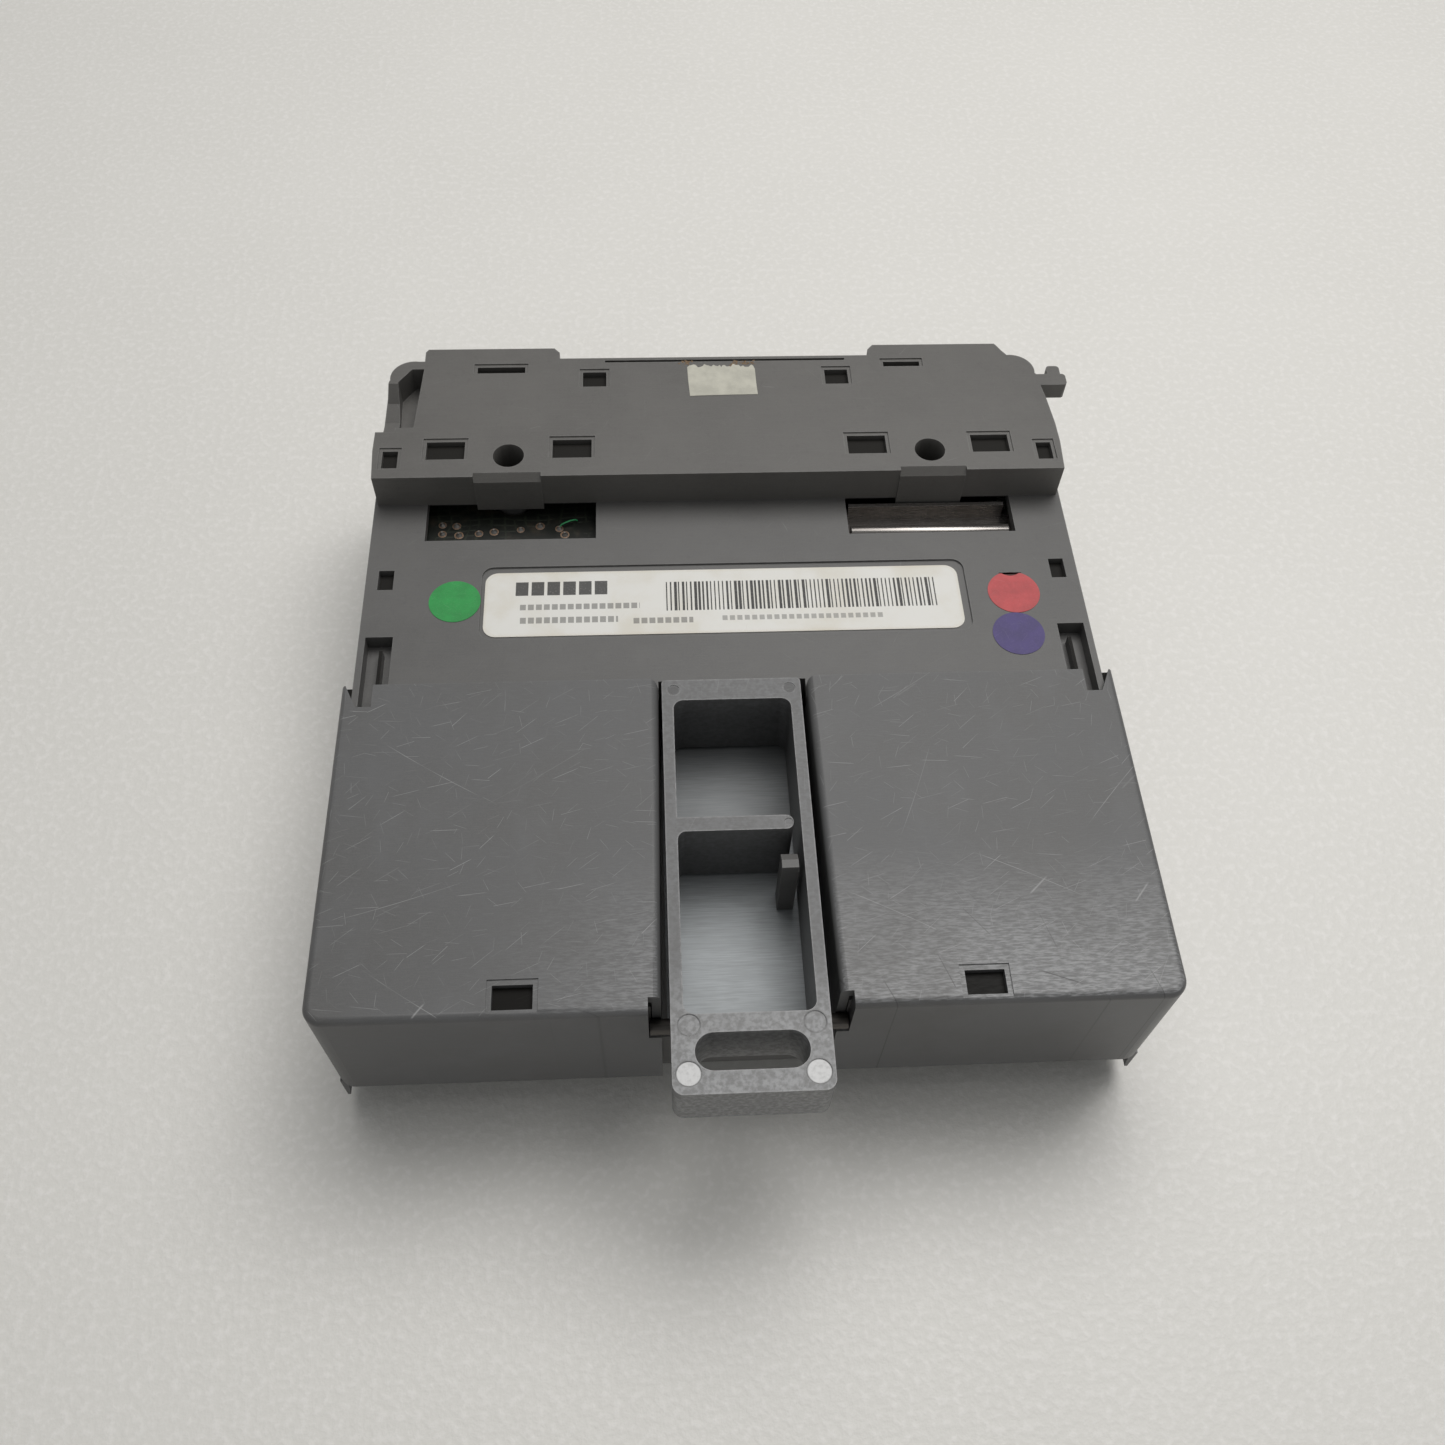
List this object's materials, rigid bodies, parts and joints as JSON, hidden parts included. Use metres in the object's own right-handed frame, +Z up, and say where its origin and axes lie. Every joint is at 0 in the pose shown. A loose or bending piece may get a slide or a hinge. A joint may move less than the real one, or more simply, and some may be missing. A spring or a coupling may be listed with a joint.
{
  "type": "ticket validator module",
  "caption": "Slide-in ticket reader and printer module with a dark moulded housing, two front covers, a raised rear hood, a central die-cast release lever and a roller ticket path.",
  "frame": {"origin": "centre of the flat underside of the lower cover, on the housing's middle plane, halfway between the covers' front face and the rear tabs' far edge", "axes": "+X to the right seen from the lever end, +Y from the lever end towards the ticket mouth, +Z up, with the service side up"},
  "size_m": [0.1527, 0.1677, 0.0504],
  "materials": {
    "chassis_plastic": "fine-grained warm dark grey moulding",
    "hood_plastic": "fine-grained warm dark grey moulding",
    "cover_plastic": "fine-grained dark grey moulding, scratched",
    "belly_plastic": "fine-grained dark grey moulding",
    "guide_plastic": "smooth black moulding",
    "gear_plastic": "natural acetal",
    "dark_plastic": "black moulding",
    "lever_metal": "mottled die casting",
    "bright_steel": "ground steel",
    "pin_steel": "dark stained steel",
    "channel_steel": "bright rolled sheet",
    "catch_plastic": "dark grey moulding",
    "floor_steel": "finely brushed pale steel",
    "bracket_steel": "zinc-plated sheet",
    "aluminium": "extruded, matt",
    "ceramic": "white thermal-head substrate",
    "rubber": "black ground rubber",
    "bush_bronze": "sintered bronze",
    "contact_gold": "gold-flashed pins",
    "solder": "tin solder",
    "board": "dark solder mask",
    "wire": "green insulation",
    "label": "white label, slightly aged",
    "green_paper": "matt",
    "red_paper": "matt",
    "purple_paper": "matt",
    "seal": "torn cream paper"
  },
  "bodies": {
    "housing": {"main_chassis": "chassis_plastic", "rear_hood": "hood_plastic", "left_cover": "cover_plastic", "right_cover": "cover_plastic", "lower_cover": "belly_plastic", "channel_floor_plate": "floor_steel", "lever_pin": "pin_steel", "lever_catch": "catch_plastic", "lever_buffer": "rubber", "rating_label": "label", "green_dot": "green_paper", "red_dot": "red_paper", "purple_dot": "purple_paper", "tamper_seal": "seal", "upper_ticket_guide": "guide_plastic", "lower_ticket_guide": "guide_plastic", "ticket_mouth": "guide_plastic", "encoder_sensor": "dark_plastic", "idler_pins": "bright_steel", "shaft_bushes": "bush_bronze", "motor_can": "bracket_steel", "motor_bracket": "bracket_steel", "motor_screws": "bracket_steel", "mouth_pinch_carriage": "dark_plastic", "inner_pinch_carriage": "dark_plastic", "pinch_springs": "floor_steel", "print_head": "ceramic", "head_heatsink": "aluminium", "read_head": "bracket_steel", "ticket_sensors": "dark_plastic", "main_pcb": "board", "solder_joints": "solder", "pcb_components": "dark_plastic", "jumper_wire": "wire", "pcb_screws": "bracket_steel", "host_connector": "dark_plastic", "connector_pins": "contact_gold", "steel_channel": "channel_steel", "lower_cover_screws": "bracket_steel"},
    "release_lever_body": {"release_lever": "lever_metal"},
    "mouth_feed": {"mouth_feed_shaft": "bright_steel", "mouth_feed_rollers": "rubber", "mouth_feed_gear": "gear_plastic"},
    "platen": {"platen_shaft": "bright_steel", "platen_roller": "rubber", "platen_gear": "gear_plastic"},
    "inner_feed": {"inner_feed_shaft": "bright_steel", "inner_feed_rollers": "rubber", "inner_feed_gear": "gear_plastic", "encoder_disc": "dark_plastic"},
    "mouth_idler": {"mouth_idler_gear": "gear_plastic"},
    "inner_idler": {"inner_idler_gear": "gear_plastic"},
    "motor_rotor": {"motor_shaft": "bright_steel", "motor_pinion": "gear_plastic"},
    "mouth_pinch": {"mouth_pinch_shaft": "bright_steel", "mouth_pinch_rollers": "gear_plastic"},
    "inner_pinch": {"inner_pinch_shaft": "bright_steel", "inner_pinch_rollers": "gear_plastic"}
  },
  "joints": [
    {"name": "lever_hinge", "type": "hinge", "parent": "housing", "child": "release_lever_body", "pos_m": [0, -0.0754, 0.03325], "axis": [1, 0, 0], "range_deg": [0, 25]},
    {"name": "platen_spin", "type": "hinge", "parent": "housing", "child": "platen", "pos_m": [0, 0.0272, 0.0191], "axis": [1, 0, 0], "continuous": true},
    {"name": "mouth_feed_spin", "type": "hinge", "parent": "housing", "child": "mouth_feed", "pos_m": [0, 0.0512, 0.0191], "axis": [1, 0, 0], "continuous": true},
    {"name": "inner_feed_spin", "type": "hinge", "parent": "housing", "child": "inner_feed", "pos_m": [0, 0.0032, 0.0191], "axis": [1, 0, 0], "continuous": true},
    {"name": "mouth_idler_spin", "type": "hinge", "parent": "housing", "child": "mouth_idler", "pos_m": [0, 0.0392, 0.02717], "axis": [1, 0, 0], "continuous": true},
    {"name": "inner_idler_spin", "type": "hinge", "parent": "housing", "child": "inner_idler", "pos_m": [0, 0.0152, 0.02717], "axis": [1, 0, 0], "continuous": true},
    {"name": "motor_spin", "type": "hinge", "parent": "housing", "child": "motor_rotor", "pos_m": [0, 0.00664, 0.03385], "axis": [1, 0, 0], "continuous": true},
    {"name": "mouth_pinch_spin", "type": "hinge", "parent": "housing", "child": "mouth_pinch", "pos_m": [0, 0.0512, 0.01], "axis": [1, 0, 0], "continuous": true},
    {"name": "inner_pinch_spin", "type": "hinge", "parent": "housing", "child": "inner_pinch", "pos_m": [0, 0.0032, 0.01], "axis": [1, 0, 0], "continuous": true}
  ],
  "couplings": [
    {"joint": "mouth_feed_spin", "follows": "platen_spin", "ratio": 1},
    {"joint": "inner_feed_spin", "follows": "platen_spin", "ratio": 1},
    {"joint": "mouth_idler_spin", "follows": "platen_spin", "ratio": -1},
    {"joint": "inner_idler_spin", "follows": "platen_spin", "ratio": -1},
    {"joint": "motor_spin", "follows": "platen_spin", "ratio": 2},
    {"joint": "mouth_pinch_spin", "follows": "platen_spin", "ratio": -1.2436},
    {"joint": "inner_pinch_spin", "follows": "platen_spin", "ratio": -1.2436}
  ]
}
